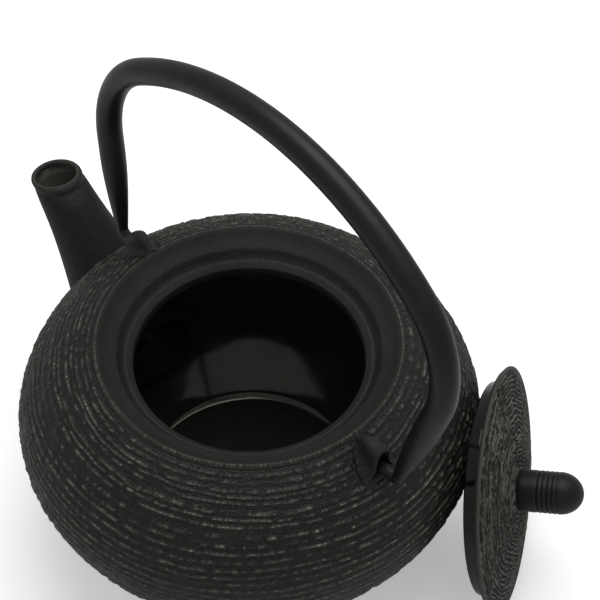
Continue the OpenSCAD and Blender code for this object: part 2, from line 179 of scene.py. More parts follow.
def upper_z(r, inset=0.0):
    """Height at which the shoulder has radius r."""
    share = (1 - (r / (belly_r - inset)) ** 2) ** (1 / shoulder_fullness)
    return belly_h + (upper_depth - inset) * share


def eased(corners, steps=4):
    """A line through corners (r, z, cut), each corner replaced by a curve that leaves
    its two sides cut millimetres before it."""
    corners = [np.array(c, float) for c in corners]
    line = [corners[0][:2]]
    share = np.linspace(0, 1, steps + 1)[:, None]
    for before, at, after in zip(corners, corners[1:], corners[2:]):
        p, cut = at[:2], at[2]
        if cut <= 0:
            line.append(p)
            continue
        a = p + (before[:2] - p) * cut / np.linalg.norm(before[:2] - p)
        b = p + (after[:2] - p) * cut / np.linalg.norm(after[:2] - p)
        line.extend(a * (1 - share) ** 2 + p * 2 * share * (1 - share) + b * share ** 2)
    line.append(corners[-1][:2])
    return np.array(line)


def turned(line, columns):
    """Points of a line of (r, z) carried round the axis, as rows by columns by 3."""
    angle = np.linspace(0, 2 * np.pi, columns, endpoint=False)
    r, z = line[:, :1], line[:, 1:2]
    return np.stack([r * np.cos(angle), r * np.sin(angle), z + 0 * angle], axis=2)


def quads(rows, columns, close_rows=False):
    """Faces of a grid whose columns wrap round, and whose last row may meet its first."""
    last = rows if close_rows else rows - 1
    i, j = np.meshgrid(np.arange(last), np.arange(columns), indexing="ij")
    under, beside = (i + 1) % rows, (j + 1) % columns
    return np.stack([i * columns + j, i * columns + beside,
                     under * columns + beside, under * columns + j],
                    axis=2).reshape(-1, 4)


def smooth_noise(rows, columns, row_len, column_len, seed):
    """Even random field, wrapped both ways, whose blurs span row_len rows and
    column_len columns, which may differ from row to row; its mean is 0 and its spread
    is 1, row by row where row_len is less than 1."""
    field = np.random.default_rng(seed).standard_normal((rows, columns))
    down = np.exp(-2 * np.pi * (np.fft.fftfreq(rows) * row_len) ** 2)[:, None]
    across = np.exp(-2 * np.pi * (np.fft.fftfreq(columns)[None, :] * column_len) ** 2)
    field = np.fft.ifft(np.fft.fft(field, axis=0) * down, axis=0)
    field = np.fft.ifft(np.fft.fft(field, axis=1) * across, axis=1).real
    field = field - field.mean()
    return field / (field.std(axis=1, keepdims=True) if row_len < 1 else field.std())


def smoothstep(low, high, x):
    """0 below low, 1 above high, and an even S between them."""
    t = np.clip((x - low) / (high - low), 0, 1)
    return t * t * (3 - 2 * t)


# Points round the close threads, round the wider ones below and round the plain parts
around, low_around, plain_around = 576, 288, 96
thread_depth = 0.72
bead_w = 0.9
groove_r = rim_r + 2 * bead_w
foot_r, foot_ring_w, foot_recess, gate_pad_r = 43.0, 6.0, 1.5, 15.0

# The body's outline from the groove outside the rim down to the foot, by its length
heights = np.linspace(upper_z(groove_r), lower_z(foot_r), 3000)
radii = skin_r(heights)
length = np.concatenate([[0], np.cumsum(np.hypot(np.diff(radii), np.diff(heights)))])
slope_r, slope_z = np.gradient(radii, length), np.gradient(heights, length)

# Threads lie a few millimetres apart, closer to begin with than towards the foot, and
# wander together; each has four rows of points, in its hollow, on its flank, top and
# flank
first_thread, fine_length, plain_length = 1.9, 78, 10
fine_pitch, coarse_pitch = (2.0, 3.4), (3.2, 4.6)
draw = np.random.default_rng(11)
pitch = []
while sum(pitch) < length[-1] - 9:
    pitch.append(draw.uniform(*(fine_pitch if sum(pitch) < fine_length else coarse_pitch)))
pitch = np.array(pitch)
thread_at = first_thread + np.cumsum(pitch) - pitch[0]
pitch = pitch[thread_at < length[-1] - plain_length]
threads = len(pitch)
thread_at = thread_at[:threads]
row_places = np.array([-0.5, -0.21, 0.0, 0.21])
row_lifts = np.array([0.0, 0.42, 1.0, 0.42])
row_at = (thread_at[:, None] + pitch[:, None] * row_places).ravel()
row_thread = np.repeat(np.arange(threads), 4)
angle = np.linspace(0, 2 * np.pi, around, endpoint=False)

# How strongly each thread stands at each angle: broken into dashes of a millimetre or
# two, in runs of several, with some threads longer than others
column_w = 2 * np.pi * np.interp(thread_at, length, radii)[:, None] / around
dash = smooth_noise(threads, around, 0.2, 1.0 / column_w, 21)
run = smooth_noise(threads, around, 0.5, 7.0 / column_w, 22)
field = smooth_noise(threads, around, 3.0, 30.0, 27)
long_thread = draw.uniform(-0.4, 0.6, threads)[:, None]
strength = smoothstep(-1.3, 0.6, dash + 0.35 * run + 0.25 * field + long_thread)
strength = (0.32 + 0.68 * strength) * (0.84 + 0.16 * np.tanh(smooth_noise(
    threads, around, 0.3, 3.0 / column_w, 23)))
pits = smooth_noise(len(row_at), around, 0.5, 1.2, 24)
rise = strength[row_thread] * np.tile(row_lifts, threads)[:, None] + 0.05 * pits
wander = 0.5 * smooth_noise(len(row_at), around, 22.0, 40.0, 25) \
    + 0.16 * smooth_noise(threads, around, 0.3, 6.0, 26)[row_thread]
ease_in = smoothstep(0.8, 4.0, row_at)
ease_out = 1 - smoothstep(length[-1] - 13, length[-1] - 6, row_at)
wander = wander * (ease_in * ease_out)[:, None]
rise = rise * ease_out[:, None] + 0.35 * (1 - ease_out)[:, None]
at = np.clip(row_at[:, None] + wander, 0.3, length[-1] - 3)
sink = thread_depth * (1 - np.clip(rise, -0.1, 1))
skin_radius = np.interp(at, length, radii) + sink * np.interp(at, length, slope_z)
skin_height = np.interp(at, length, heights) - sink * np.interp(at, length, slope_r)
skin = np.stack([skin_radius * np.cos(angle), skin_radius * np.sin(angle),
                 skin_height], axis=2)

# The collar dishes down from the rim to the ledge that the lid sits on, and the mouth's
# bore goes on below it.  The pivots lie close over the shoulder, and the ceiling inside
# stays clear of their sockets.
mouth_r, mouth_len = 40.8, 3.7
collar_w, collar_drop = 6.9, 4.9
ledge_drop, ledge_fall, recess_taper = 8.5, 1.5, 1.55
collar_in = (rim_r - collar_w, rim_h - collar_drop)
ledge_out = (collar_in[0] - recess_taper, rim_h - ledge_drop)
ledge_in = (mouth_r, ledge_out[1] - ledge_fall)
bore_low = ledge_in[1] - mouth_len
lug_reach, pin_r, pin_clear, pin_gap = 66.0, 2.0, 0.65, 0.08
under_socket = 1.2
pivot_h = upper_z(lug_reach) + pin_r + pin_clear
ceiling_z = pivot_h - pin_r - pin_gap - under_socket
foot_top = lower_z(foot_r)


def cavity(inset):
    """The cavity's outline from the mouth down to the middle of its floor, inset
    millimetres inside the bare iron."""
    inner = wall + inset
    low = bottom_t + inset
    turn = low + 2.5
    edge = skin_r(turn, inner)
    side = np.linspace(ceiling_z - inset, turn, 36)
    return np.concatenate([
        eased([(mouth_r, bore_low - inset + 1, 0), (mouth_r, bore_low - inset, 0.4),
               (skin_r(ceiling_z - inset, inner), ceiling_z - inset, 2.5),
               (skin_r(side[3], inner), side[3], 0)]),
        np.stack([skin_r(side[4:], inner), side[4:]], axis=1),
        eased([(edge, turn, 0), (edge - 2.4, low, 2.9), (0, low, 0)], 8)])


collar = eased([
    (groove_r + 0.1, upper_z(groove_r) - 0.8, 0),
    (groove_r - 0.4, upper_z(groove_r) - 0.7, 0.3),
    (rim_r + bead_w * 0.9, rim_h - 0.6, 0.35), (rim_r + 0.1, rim_h, 0.45),
    (rim_r - 0.9, rim_h - 0.42, 0.5), (rim_r - 3.3, rim_h - 2.75, 1.6),
    (collar_in[0], collar_in[1], 0.55),
    (ledge_out[0] + 0.35, ledge_out[1] + 1.3, 0.7), (ledge_out[0] - 0.8, ledge_out[1], 0.5),
    (ledge_out[0] - 1.5, ledge_out[1] + 0.12, 0.25),
    (ledge_in[0], ledge_in[1], 0.5), (mouth_r, bore_low + 0.6, 0)])
plain_z = np.interp(length[-1] - 6.5, length, heights)
foot = eased([
    (skin_r(plain_z) - 0.36, plain_z, 0),
    (foot_r, foot_top + 0.3, 1.2), (foot_r, 0, 0.7), (foot_r - foot_ring_w, 0, 0.7),
    (foot_r - foot_ring_w - 0.5, foot_recess, 0.6), (gate_pad_r + 1.2, foot_recess, 0.6),
    (gate_pad_r, 0, 0.5), (0, 0, 0)], 3)


def seam(fine_start, coarse_start, fine, coarse, upward):
    """Faces between a ring of many points and a ring of few, each of the few sides
    meeting the same number of the many."""
    share = fine // coarse
    faces = []
    for k in range(coarse):
        many = [fine_start + (k * share + i) % fine for i in range(share + 1)]
        few = [coarse_start + (k + 1) % coarse, coarse_start + k]
        faces.append((many + few) if upward else (many + few)[::-1])
    return faces


foot_grid = turned(foot[::-1], plain_around)
low_skin = skin[row_at > fine_length][::-1, ::around // low_around]
high_skin = skin[row_at <= fine_length][::-1]
mouth_grid = np.concatenate([turned(collar, plain_around), turned(cavity(0.0), plain_around)])
grids = (foot_grid, low_skin, high_skin, mouth_grid)
low_start, high_start, mouth_start = np.cumsum([g[..., 0].size for g in grids])[:3].tolist()
points = np.concatenate([g.reshape(-1, 3) for g in grids])
faces = (quads(len(foot_grid), plain_around).tolist()
         + (quads(len(low_skin), low_around) + low_start).tolist()
         + (quads(len(high_skin), around) + high_start).tolist()
         + (quads(len(mouth_grid), plain_around) + mouth_start).tolist()
         + seam(low_start, low_start - plain_around, low_around, plain_around, False)
         + seam(high_start, high_start - low_around, around, low_around, False)
         + seam(mouth_start - around, mouth_start, around, plain_around, True))
pot = surface("pot_casting", points, faces)

# Spout: rings carried down a curve, its mouth tipped forwards and its root in the body
lip_tilt, spout_lean = 8.2, 42.0
spout_mouth = np.array([-115.64, 95.26])
neck_way, run_way = np.radians(38.0), np.radians(spout_lean)
spout_bend = spout_mouth + 20 * np.array([np.sin(neck_way), -np.cos(neck_way)])
spout_foot = spout_bend + 36 * np.array([np.sin(run_way), -np.cos(run_way)])
spout_turn = spout_foot + 12 * np.array([np.sin(run_way), -np.cos(run_way)])
spout_end = spout_foot + np.array([24.0, -10.0])
lip_r, lip_len, spout_bore, neck_r, root_r, root_wall = 9.87, 2.4, 7.84, 9.9, 19.1, 4.5
spout_down = np.linalg.norm(spout_foot - spout_mouth)


def bezier(a, b, c, share):
    """Points on the curve from a to c that b pulls."""
    share = np.asarray(share)[:, None]
    return a * (1 - share) ** 2 + b * 2 * share * (1 - share) + c * share ** 2


def spout_rings(outside, sides=72):
    """Rings of the spout's outside or of its bore: square to the lip's tilt in the lip,
    widening with the 1.7th power of the way down the neck, and turned level with the
    body's wall in the root."""
    tip = np.radians(lip_tilt)
    if outside:
        down, wider = np.array([[0, -1.35], [0.1, -0.8], [0.38, -0.3], [0.9, -0.02], [1.6, 0],
                                [2.1, -0.13], [2.5, -0.3], [2.9, -0.36], [3.4, -0.2]]).T
        slide = np.array([np.sin(neck_way), -np.cos(neck_way)])
        lip_at = spout_mouth + down[:, None] / np.cos(neck_way - tip) * slide
        lip_half = lip_r + wider
    else:
        down, wider = np.array([[-1.0, 2.0], [-0.1, 0.75], [0.3, 0.36], [0.9, 0.1], [1.7, 0],
                                [2.4, 0]]).T
        lip_at = spout_mouth - down[:, None] * np.array([-np.sin(tip), np.cos(tip)])
        lip_half = spout_bore + wider
    share = np.linspace(0.115 if outside else 0.1, 1, 34)
    neck_at = bezier(spout_mouth, spout_bend, spout_foot, share)
    down = np.linalg.norm(neck_at - spout_mouth, axis=1)
    neck_tilt = lip_tilt + (spout_lean - lip_tilt) * smoothstep(0, 18, down - lip_len)
    grade = (down / spout_down) ** 1.7
    if outside:
        neck_half = neck_r + (root_r - neck_r) * grade
        neck_half = neck_half - 0.1 * np.exp(-((down - 5.0) / 1.5) ** 2)
        root_half = root_r
    else:
        neck_half = spout_bore + (root_r - root_wall - spout_bore) * grade
        root_half = root_r - root_wall
    root_share = np.linspace(0.08, 1, 12)
    root_at = bezier(spout_foot, spout_turn, spout_end, root_share)
    root_tilt = spout_lean + (90 - spout_lean) * root_share
    middle = np.concatenate([lip_at, neck_at, root_at])
    tilt = np.radians(np.concatenate([np.full(len(lip_at), lip_tilt), neck_tilt, root_tilt]))
    half = np.concatenate([lip_half, neck_half, np.full(len(root_at), root_half)])
    stretch = 1 / np.cos(np.radians(spout_lean - neck_tilt)) - 1
    along = half * (1 + np.concatenate([np.zeros(len(lip_at)),
                                        stretch * smoothstep(0.5, 14.0, down),
                                        np.zeros(len(root_at))]))
    turn = np.linspace(0, 2 * np.pi, sides, endpoint=False)
    x = middle[:, :1] + along[:, None] * np.cos(turn) * np.cos(tilt)[:, None]
    z = middle[:, 1:] + along[:, None] * np.cos(turn) * np.sin(tilt)[:, None]
    return np.stack([x, half[:, None] * np.sin(turn), z], axis=2)


def capped(name, rings, hearts=None):
    """A closed solid through rings, its two ends drawn to their hearts, which are their
    middles unless given."""
    hearts = hearts if hearts is not None else (rings[0].mean(axis=0), rings[-1].mean(axis=0))
    ends = [np.broadcast_to(h, rings[0].shape)[None] for h in hearts]
    whole = np.concatenate([ends[0], rings, ends[1]])
    return surface(name, whole, quads(len(whole), whole.shape[1]))


spout = capped("spout", spout_rings(True))
passage = capped("passage", spout_rings(False))


# Lugs: a ridge that leaves the crest, rises and widens outwards, hollowed under its roof
# by a pocket for the bail's bend and beyond that by a blind socket for its pin.  The
# lug beside the spout droops further.
lug_rise, lug_start, lug_pocket, socket_len = 3.8, 53.4, 7.0, 5.5
pocket_foot_w, pocket_waist_w, pocket_roof_r = 4.4, 2.45, 2.1


def lug_swell(x):
    """How far the lug has widened at a distance x from the axis, from 0 to 1."""
    return smoothstep(53.0, 65.5, x)


def lug_foot_w(x):
    """Half width of the lug's foot at a distance x from the axis."""
    return 2.4 + 4.6 * lug_swell(x)


def lug_ridge(droop):
    """Rings across the lug from the rim outwards, and the two points that close them.
    The crest climbs as a quarter sine wave and falls with the 1.6th power of the way
    beyond 59.5 mm; each ring is a foot, a waist and a rounded top."""
    x = np.array([lug_start, 54.2, 55.0, 56.0, 57.2, 58.6, 60.0, 61.4, 62.8, 64.2, 65.4, 66.2,
                  66.6, 66.85, 66.95])
    nip = np.array([0.0] * 12 + [0.12, 0.38, 0.75])
    climb = np.sin(np.pi / 2 * np.clip((x - lug_start) / 8.6, 0, 1))
    crest = (rim_h - 1.3 + (lug_rise + 1.3) * climb
             - droop * (np.maximum(0, x - 59.5) / 7.5) ** 1.6 - nip)
    top_w = 0.7 + 2.4 * lug_swell(x) - nip * 0.7
    waist_w = 1.1 + 2.9 * lug_swell(x) - nip * 0.5
    foot_w = lug_foot_w(x) - nip * 0.4
    base = upper_z(np.hypot(x, foot_w))
    rings = []
    for k, tall in enumerate(np.maximum(0.6, crest - base)):
        half = [(foot_w[k], base[k] - 1.1, 0),
                (waist_w[k], base[k] + 0.12 * tall, min(2.2, 0.35 * tall + 0.3)),
                (top_w[k], base[k] + tall, 0.96 * top_w[k])]
        line = eased(half + [(-y, z, cut) for y, z, cut in half[::-1]], 7)
        rings.append(np.column_stack([np.full(len(line), x[k]), line]))
    return np.array(rings), [np.array([x[k], 0.0, base[k] - 0.6]) for k in (0, -1)]


def pocket_rings(roof):
    """Rings of the pocket, open downwards, arched at the height roof, and flared where
    it leaves the lug."""
    under = upper_z(lug_reach)
    arch = np.radians(np.linspace(0, 180, 17))
    flank_w = np.linspace(pocket_foot_w, pocket_waist_w, 6)
    ring = np.concatenate([
        [(-pocket_foot_w, under - 0.3), (pocket_foot_w, under - 0.3)],
        np.stack([flank_w, np.linspace(under, pivot_h, 6)], 1),
        np.stack([pocket_roof_r * np.cos(arch), roof + pocket_roof_r * np.sin(arch)], 1),
        np.stack([-flank_w[::-1], np.linspace(pivot_h, under, 6)], 1)])
    inner = lug_reach - lug_pocket
    deep = np.array([inner, inner + 0.4, 65.2, 66.1, 68.0])
    flare = np.array([-0.5, 0.0, 0.0, 0.3, 1.0])
    out_way = ring - np.array([0, pivot_h])
    out_way = out_way / np.linalg.norm(out_way, axis=1)[:, None]
    rings = ring[None] + flare[:, None, None] * out_way[None]
    return np.concatenate([np.zeros(rings.shape[:2] + (1,)) + deep[:, None, None], rings],
                          axis=2)


def socket_rings(sides=40):
    """Rings of the blind round socket, flared where it meets the pocket."""
    turn = np.linspace(0, 2 * np.pi, sides, endpoint=False)
    hole = np.stack([np.cos(turn), np.sin(turn)], 1)
    socket_r, inner = pin_r + pin_gap, lug_reach - lug_pocket
    size = np.array([0.0001, socket_r, socket_r, 2.5])
    deep = np.array([inner - socket_len, inner - socket_len, inner - 0.2, inner + 0.3])
    return np.concatenate([
        np.zeros((4, sides, 1)) + deep[:, None, None],
        size[:, None, None] * hole[None] + np.array([0, pivot_h])], axis=2)


tools, parts = [], [spout]
for side, droop in ((1, 0.9), (-1, 4.9)):
    facing = np.array([side, 1, 1])
    rings, hearts = lug_ridge(droop)
    parts.append(capped("lug", rings * facing, [h * facing for h in hearts]))
    tools.append(capped("pocket", pocket_rings(rim_h + lug_rise - 3.1 - 0.9 * droop) * facing))
    tools.append(capped("socket", socket_rings() * facing))


def carve(piece, others, how, keep=False):
    """Joins the other solids to the piece, or takes them out of it, one after another;
    they are then removed, unless they are to be kept."""
    for other in others:
        step = piece.modifiers.new(other.name, "BOOLEAN")
        step.object = other
        step.operation = how
        step.solver = "MANIFOLD"
    bpy.context.view_layer.update()
    done = bpy.data.meshes.new_from_object(
        piece.evaluated_get(bpy.context.evaluated_depsgraph_get()))
    piece.modifiers.clear()
    old, name = piece.data, piece.data.name
    piece.data = done
    bpy.data.meshes.remove(old)
    done.name = name
    for spare in [] if keep else others:
        bpy.data.objects.remove(spare)


def finished(piece, material, sharp):
    """Gives a piece its only material, and keeps edges of more than sharp degrees
    crisp."""
    piece.data.shade_smooth()
    piece.data.set_sharp_from_angle(angle=np.radians(sharp))
    piece.data.materials.clear()
    piece.data.materials.append(material)


carve(pot, parts, "UNION")
carve(pot, [passage], "DIFFERENCE", keep=True)
carve(pot, tools, "DIFFERENCE")

# Three marks for the finish to read: how high each point stands over the threads' floor,
# 1 on their tops; whether the threads reach it; and the way round and down the body at
# which it lies.  The threaded skin ends at the rim's bead, over the foot and a little way
# off the lugs.  On the spout the first mark is painted light and shade, set by the way
# from the lip: high in the bore near the mouth and lower deeper in, so the bore is painted
# lighter near the mouth and darker deeper in, and a little higher on the lip's rim, which
# is partly wear.
place = np.empty(len(pot.data.vertices) * 3)
pot.data.vertices.foreach_get("co", place)
place = place.reshape(-1, 3) * 1000
reach = np.hypot(place[:, 0], place[:, 1])
outward = np.interp(place[:, 2], heights[::-1], -slope_z[::-1])
below = (skin_r(place[:, 2]) - reach) * outward / thread_depth
out_x = np.abs(place[:, 0])
by_lug = (out_x > 54.5) & (out_x < 68.2) & (np.abs(place[:, 1]) < lug_foot_w(out_x) + 0.8)
on_skin = (below > -0.6) & (below < 1.3) & (place[:, 2] < rim_h - 0.8) \
    & (place[:, 2] > foot_top + 6) & ~by_lug
on_crest = (place[:, 2] > rim_h - 0.7) & (reach > rim_r - 0.2) & (reach < rim_r + 1.2)
on_spout = ~on_skin & (place[:, 0] < -70)
tip = np.radians(lip_tilt)
lip_down = ((spout_mouth[0] - place[:, 0]) * -np.sin(tip)
            + (spout_mouth[1] - place[:, 2]) * np.cos(tip))
slid = np.outer(lip_down / np.cos(neck_way - tip), (np.sin(neck_way), -np.cos(neck_way)))
from_lip = np.sqrt((place[:, 0] - spout_mouth[0] - slid[:, 0]) ** 2 + place[:, 1] ** 2
                   + (place[:, 2] - spout_mouth[1] - slid[:, 1]) ** 2)
neck_line = bezier(spout_mouth, spout_bend, spout_foot, np.linspace(0, 1, 40))
from_line = np.min([np.linalg.norm(place - (m[0], 0, m[1]), axis=1) for m in neck_line], axis=0)
from_line = np.where(lip_down < 5, from_lip, from_line)
# Painted light and shade in the spout's bore: lighter near the mouth, darker deeper in; the
# lip's rim a little lighter, partly wear
spout_wear_and_light = np.where(from_line < spout_bore + 0.75, 0.52 - 0.24 * smoothstep(7, 16, lip_down),
                       0.15 + 0.2 * (1 - smoothstep(2.0, 6.0, lip_down)))
down_way = np.interp(place[:, 2], heights[::-1], length[::-1])
round_way = np.arctan2(place[:, 1], place[:, 0])


def marked(piece, height_and_light, threaded, turn_at, down):
    """Writes the three marks that the iron's finish reads onto a piece's points; the
    way round is given as a point on the belly's circle, so that it has no seam."""
    way = np.stack([belly_r * np.cos(turn_at), belly_r * np.sin(turn_at), down], axis=1)
    for mark, kind, values in (("height_and_light", "FLOAT", height_and_light), ("threaded", "FLOAT", threaded),
                               ("thread_way", "FLOAT_VECTOR", way)):
        made = piece.data.attributes.new(mark, kind, "POINT")
        made.data.foreach_set("vector" if values.ndim > 1 else "value",
                              values.astype(np.float32).ravel())


marked(pot, np.where(on_skin, np.clip(1 - below, 0, 1),
                     np.where(on_spout, spout_wear_and_light, np.where(on_crest, 0.56, 0.345))),
       (on_skin | on_crest) * 1.0, round_way, down_way)


def noise(tree, way, scale, detail, roughness):
    """Even noise over the points way, scale blurs to their unit."""
    return node(tree, "ShaderNodeTexNoise", {"Vector": way, "Scale": scale,
                "Detail": detail, "Roughness": roughness}).outputs["Fac"]


def pebbles(tree, way, scale, smoothness, randomness=1.0):
    """The way to the middle of the nearest of many cells, blended between them."""
    return node(tree, "ShaderNodeTexVoronoi", {
        "Vector": way, "Scale": scale, "Smoothness": smoothness,
        "Randomness": randomness}, feature="SMOOTH_F1").outputs["Distance"]


def read_mark(tree, name, kind="Fac"):
    """One of the marks on the piece's points."""
    return node(tree, "ShaderNodeAttribute", attribute_name=name).outputs[kind]


def remap(tree, value, low, high, start, end):
    """value stretched so that low becomes start and high becomes end, and held there."""
    return node(tree, "ShaderNodeMapRange", {"Value": value, "From Min": low,
                "From Max": high, "To Min": start, "To Max": end}).outputs[0]


def maths(tree, operation, *terms, **settings):
    """One step of arithmetic on numbers or sockets."""
    return node(tree, "ShaderNodeMath", dict(enumerate(terms)), operation=operation,
                **settings).outputs[0]


def between(tree, share, low, high):
    """low where share is 0 and high where it is 1: numbers, or colours of four."""
    if isinstance(high, tuple) or isinstance(low, tuple):
        return node(tree, "ShaderNodeMix", {"Factor": share, 6: low, 7: high},
                    data_type="RGBA").outputs[2]
    return node(tree, "ShaderNodeMix", {"Factor": share, "A": low, "B": high}).outputs[0]


def bumped(tree, height, strength, distance, over=None):
    """The surface's normal tipped by a height, distance metres high where it is 1, over
    the bumps that lie under it."""
    under = {} if over is None else {"Normal": over}
    return node(tree, "ShaderNodeBump", {"Height": height, "Strength": strength,
                "Distance": distance, **under}).outputs[0]


def coated(material, tree, out, sockets):
    """The material, its output fed by a principled shader with these sockets."""
    coat = node(tree, "ShaderNodeBsdfPrincipled", sockets)
    tree.links.new(coat.outputs[0], out.inputs["Surface"])
    return material


def iron_finish(name, worn, along, fleck_low, hollow_rough, beaded):
    """Blackened cast iron: near black, with sand, pebbles and slow lumps in its bump.
    The threads' tops are rubbed to the colour worn, smoother and half metallic, in
    flecks along millimetres long that fall to fleck_low between them, mixed with beads
    by the share beaded.  Their hollows are duller by hollow_rough."""
    material, tree, out = blank(name)
    place = node(tree, "ShaderNodeTexCoord").outputs["Object"]
    threaded, height_and_light = read_mark(tree, "threaded"), read_mark(tree, "height_and_light")
    drawn = node(tree, "ShaderNodeMapping", {
        "Vector": read_mark(tree, "thread_way", "Vector"),
        "Scale": (1 / along, 1 / along, 1.5)}).outputs[0]
    bead = remap(tree, pebbles(tree, drawn, 0.9, 0.4, 0.7), 0.1, 0.65, 0.66, 0.34)
    streak = between(tree, beaded, noise(tree, drawn, 1.0, 3.0, 0.6), bead)
    # Rubbed tops are wear on the threads; on the spout the same tint is painted light, making
    # its bore lighter near the mouth
    rubbed_and_lit = remap(tree, height_and_light, 0.3, 0.95, 0.0, 1.0)
    uneven = remap(tree, noise(tree, place, 45.0, 4.0, 0.55), 0.3, 0.58, 0.55, 1.0)
    flecked = remap(tree, streak, 0.4, 0.62, fleck_low, 1.35)
    flecked = between(tree, threaded, 1.0, flecked)
    patchy = maths(tree, "MULTIPLY", rubbed_and_lit, uneven)
    patchy = maths(tree, "MULTIPLY", patchy, flecked, use_clamp=True)

    # Colour: pebbles of sand on a sooty ground, painted darker as painted shade where points
    # sit low in the threads' hollows and deep in the spout's bore, and the rubbed tops over
    # both
    mottle = remap(tree, pebbles(tree, place, 850.0, 0.6), 0.15, 0.65, 1.0, 0.0)
    sand_and_hollow_shade = maths(tree, "MULTIPLY", mottle, remap(tree, height_and_light, 0.05, 0.4, 0.25, 1.0))
    sandy = between(tree, threaded, (0.0050, 0.0050, 0.0044, 1), (0.0170, 0.0168, 0.0120, 1))
    ground = between(tree, sand_and_hollow_shade, (0.0032, 0.0032, 0.0024, 1), sandy)
    tint = between(tree, patchy, ground, (*worn, 1))

    # Sheen: shinier on the threads and on their tops, duller in their hollows
    sand = noise(tree, place, 1100.0, 4.0, 0.65)
    rough = maths(tree, "MULTIPLY_ADD", threaded, -0.16,
                 remap(tree, sand, 0.3, 0.7, 0.56, 0.74))
    hollow = remap(tree, height_and_light, 0.1, 0.55, hollow_rough, 0.0)
    rough = maths(tree, "MULTIPLY_ADD", hollow, threaded, rough)
    rough = maths(tree, "MULTIPLY_ADD", patchy, -0.26, rough)

    # Relief, from the slowest lumps to the finest grain
    lumps = bumped(tree, noise(tree, place, 270.0, 4.0, 0.55), 0.6, 0.00036)
    ribs = bumped(tree, maths(tree, "MULTIPLY", streak, threaded), 0.9, 0.0009, lumps)
    pebbled = bumped(tree, mottle, 0.5, 0.00012, ribs)
    return coated(material, tree, out, {
        "Base Color": tint, "Roughness": rough,
        "Metallic": maths(tree, "MULTIPLY", patchy, 0.45),
        "Normal": bumped(tree, sand, 0.6, 0.00014, pebbled), "IOR": 1.37})


finished(pot, iron_finish("blackened iron", worn=(0.165, 0.160, 0.140), along=1.5,
                          fleck_low=0.2, hollow_rough=0.0, beaded=0.75), sharp=52)
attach(pot, "pot")
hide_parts("pot_body", "pot_spout")

# ---- Enamel inside the pot --------------------------------------------------------
# Black glass fired onto the inside of the casting, a few tenths of a millimetre thick
# and glossy, with the slow ripple of a poured coat.  It stops at the mouth, and its
# outer side and edge are sunk into the iron that carries it.

# Its outline runs from an edge hidden in the iron along its face to the middle of the
# floor, and back just inside the iron; the mouth's own points are left out
lining, bed = cavity(0.42), cavity(-0.06)
hidden = [(mouth_r + 0.5, bore_low + 0.25)]
ring = np.concatenate([hidden, lining[6:], bed[:4:-1], hidden])
grid = turned(ring, 200)
enamel = surface("pot_lining", grid, quads(len(grid), 200))
carve(enamel, [passage], "DIFFERENCE")


def enamel_finish(name, colour, speckle, gloss, glint, wave_h):
    """Glossy black enamel: a faint milky speckle in the glass and a slow ripple, wave_h
    metres high; gloss is its index of refraction and glint the tint of its shine."""
    material, tree, out = blank(name)
    place = node(tree, "ShaderNodeTexCoord").outputs["Object"]
    ripple = noise(tree, place, 34.0, 1.5, 0.45)
    fleck = remap(tree, noise(tree, place, 900.0, 2.0, 0.5), 0.55, 0.75, 0.0, speckle)
    return coated(material, tree, out, {
        "Base Color": between(tree, fleck, (*colour, 1), (0.30, 0.30, 0.29, 1)),
        "Roughness": remap(tree, ripple, 0.35, 0.65, 0.05, 0.16),
        "Normal": bumped(tree, ripple, 0.5, wave_h), "IOR": gloss,
        "Specular Tint": (*glint, 1)})


finished(enamel, enamel_finish("fired enamel", colour=(0.022, 0.021, 0.018), speckle=0.03,
                               gloss=1.44, glint=(1.0, 0.95, 0.86), wave_h=0.0012), sharp=50)
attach(enamel, "pot")
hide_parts("pot_enamel")

# ---- Bail -------------------------------------------------------------------------
# A steel tube bent to a tall arch and swaged down at both ends onto solid pins, which
# turn in the lugs.  It is coated satin black and leans a little off upright.
# On each side the arch is a long arc, a tight arc and a straight leg
bail_r, bail_wall, rod_r = 4.66, 0.9, 2.1
bail_h, top_r, top_a = 97.14, 120.8, np.radians(33.34)
corner_r, tube_end_h, leg_a = 35.26, 2.6, np.radians(11.85)
taper, trim, bail_lean, bail_shift = 33.4, 1.0, np.radians(6.6), 0.7
corner_at = np.array([(top_r - corner_r) * np.sin(top_a),
                      bail_h - top_r + (top_r - corner_r) * np.cos(top_a)])
corner_turn = np.pi / 2 + leg_a - top_a
leg_top = corner_at + corner_r * np.array([np.cos(leg_a), -np.sin(leg_a)])
leg_way = np.array([-np.sin(leg_a), -np.cos(leg_a)])
leg_len = (leg_top[1] - tube_end_h) / np.cos(leg_a) + trim
leg_end = leg_top + leg_len * leg_way


def stood(points):
    """Points of the bail's own plane, moved to its pivot and leaned with it."""
    x, y, z = points[..., 0], points[..., 1], points[..., 2]
    return np.stack([x + bail_shift,
                     y * np.cos(bail_lean) + z * np.sin(bail_lean),
                     pivot_h - y * np.sin(bail_lean) + z * np.cos(bail_lean)], axis=-1)


def bail_line(top=26, corner=26, leg=26):
    """Points (x, z, heading, way left to the leg's end) down one side of the arch; the
    way left is taken as the taper's length until the leg."""
    wide = np.linspace(0, top_a, top, endpoint=False)
    tight = top_a + corner_turn * np.linspace(0, 1, corner, endpoint=False)
    down = np.linspace(0, leg_len - trim, leg)
    return np.concatenate([
        np.stack([top_r * np.sin(wide), bail_h - top_r + top_r * np.cos(wide), wide,
                  np.full(top, taper)], 1),
        np.stack([corner_at[0] + corner_r * np.sin(tight),
                  corner_at[1] + corner_r * np.cos(tight), tight,
                  np.full(corner, taper)], 1),
        np.stack([leg_top[0] + down * leg_way[0], leg_top[1] + down * leg_way[1],
                  np.full(leg, np.pi / 2 + leg_a), leg_len - down], 1)])


